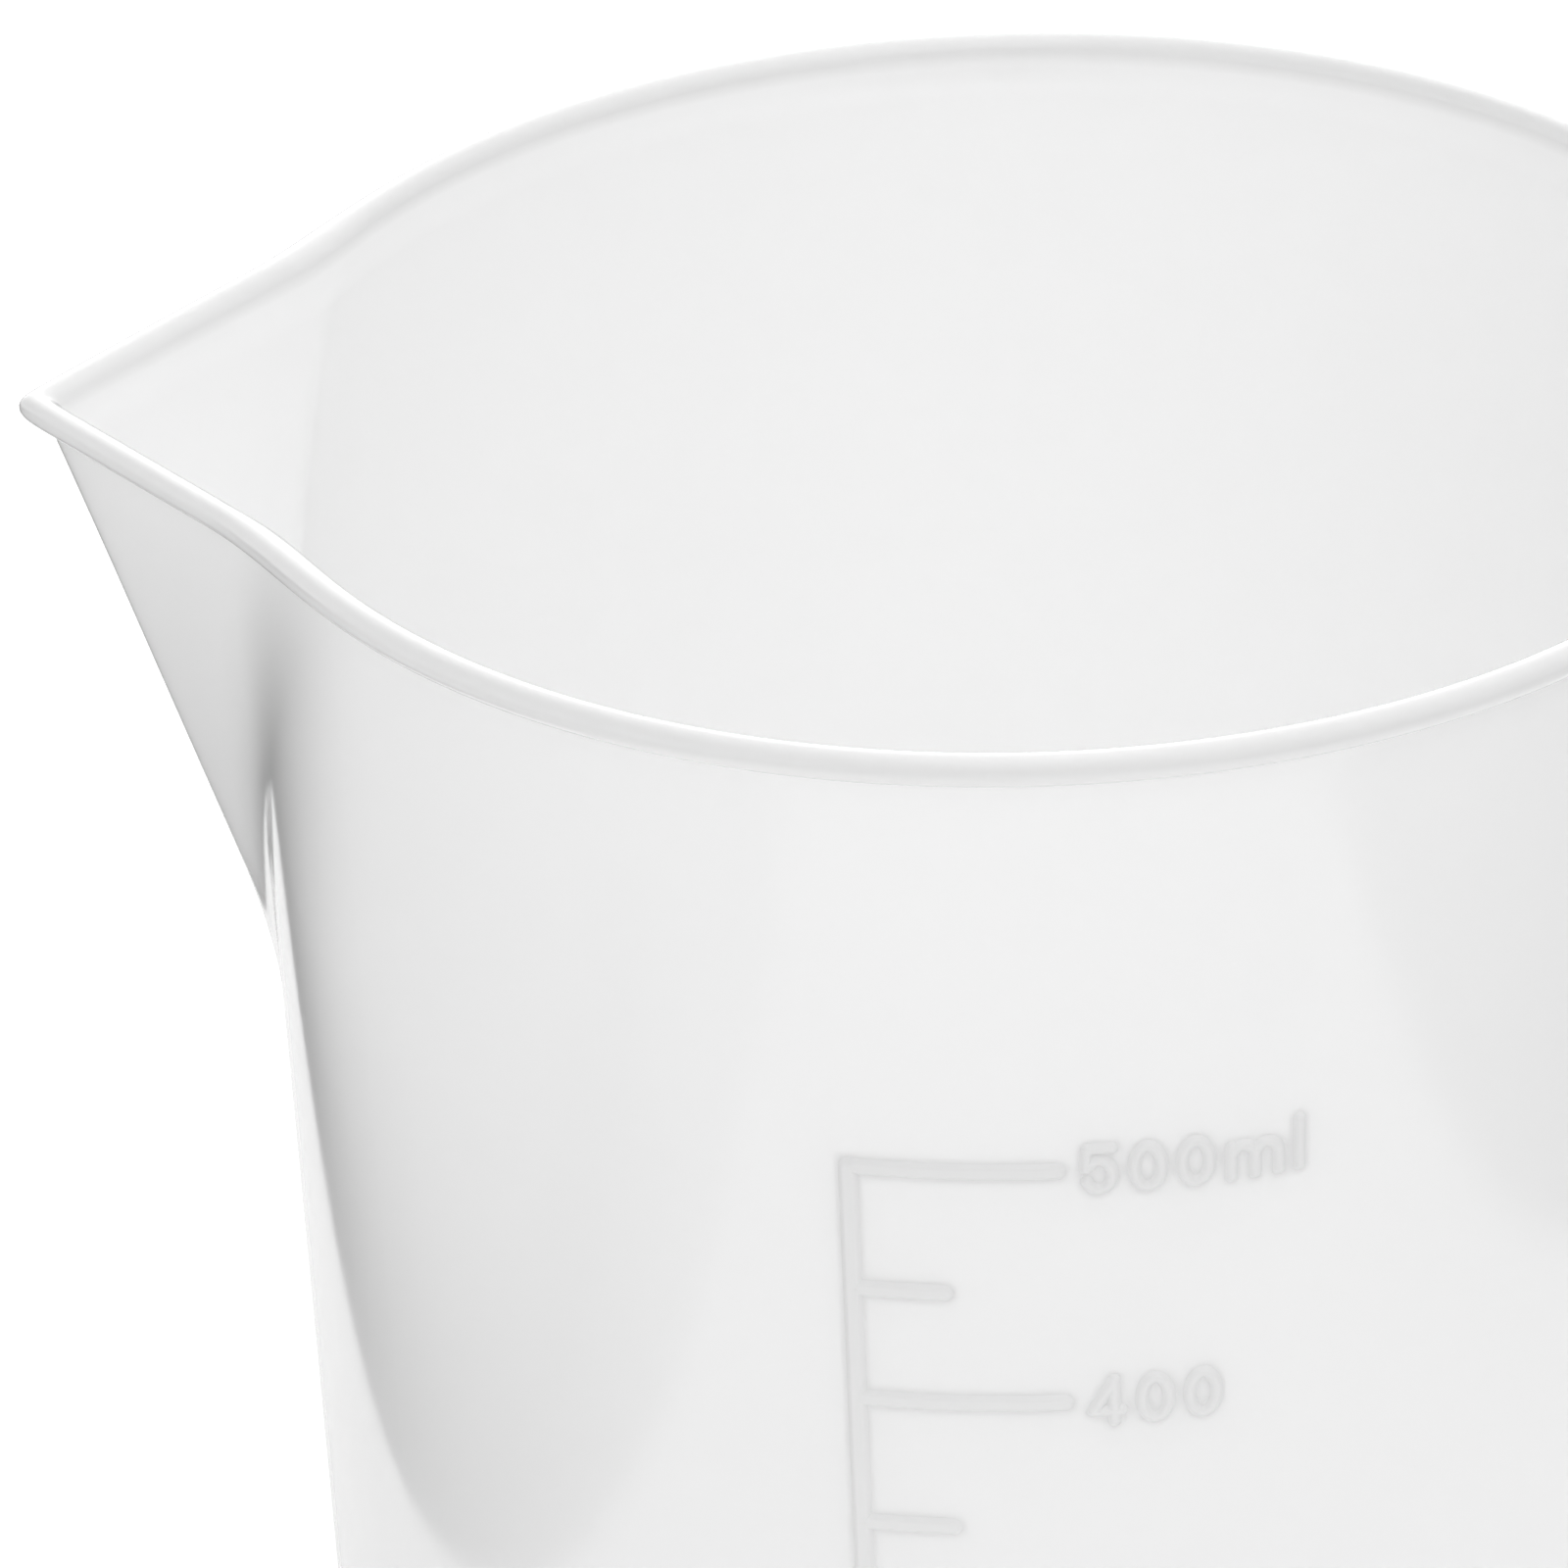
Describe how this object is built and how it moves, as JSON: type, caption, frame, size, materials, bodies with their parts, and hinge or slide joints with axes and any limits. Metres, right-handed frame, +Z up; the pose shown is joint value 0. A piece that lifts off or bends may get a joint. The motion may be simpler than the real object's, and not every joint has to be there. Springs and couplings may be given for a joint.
{
  "type": "laboratory beaker",
  "caption": "Low-form tapered laboratory beaker in milky translucent plastic, with a rolled rim, a triangular pouring spout and a raised moulded volume scale.",
  "frame": {"origin": "on the beaker's axis in the plane it stands on", "axes": "+Z up the axis to the rim, -X towards the pouring spout, -Y towards the raised scale"},
  "size_m": [0.1088, 0.0972, 0.118],
  "materials": {
    "vessel": "natural polypropylene, milky and translucent, half-gloss with faint mould texture",
    "scale": "the same plastic as raised relief, slightly duller than the wall"
  },
  "bodies": {
    "root": {"beaker_body": "vessel", "scale_spine": "scale", "tick_500": "scale", "tick_450": "scale", "tick_400": "scale", "tick_350": "scale", "tick_300": "scale", "tick_250": "scale", "tick_200": "scale", "tick_150": "scale", "tick_100": "scale", "tick_50": "scale", "label_500_digit_1": "scale", "label_500_digit_2": "scale", "label_500_digit_3": "scale", "label_400_digit_1": "scale", "label_400_digit_2": "scale", "label_400_digit_3": "scale", "label_300_digit_1": "scale", "label_300_digit_2": "scale", "label_300_digit_3": "scale", "label_200_digit_1": "scale", "label_200_digit_2": "scale", "label_200_digit_3": "scale", "label_100_digit_1": "scale", "label_100_digit_2": "scale", "label_100_digit_3": "scale", "label_500_unit_m": "scale", "label_500_unit_l": "scale"}
  },
  "joints": []
}
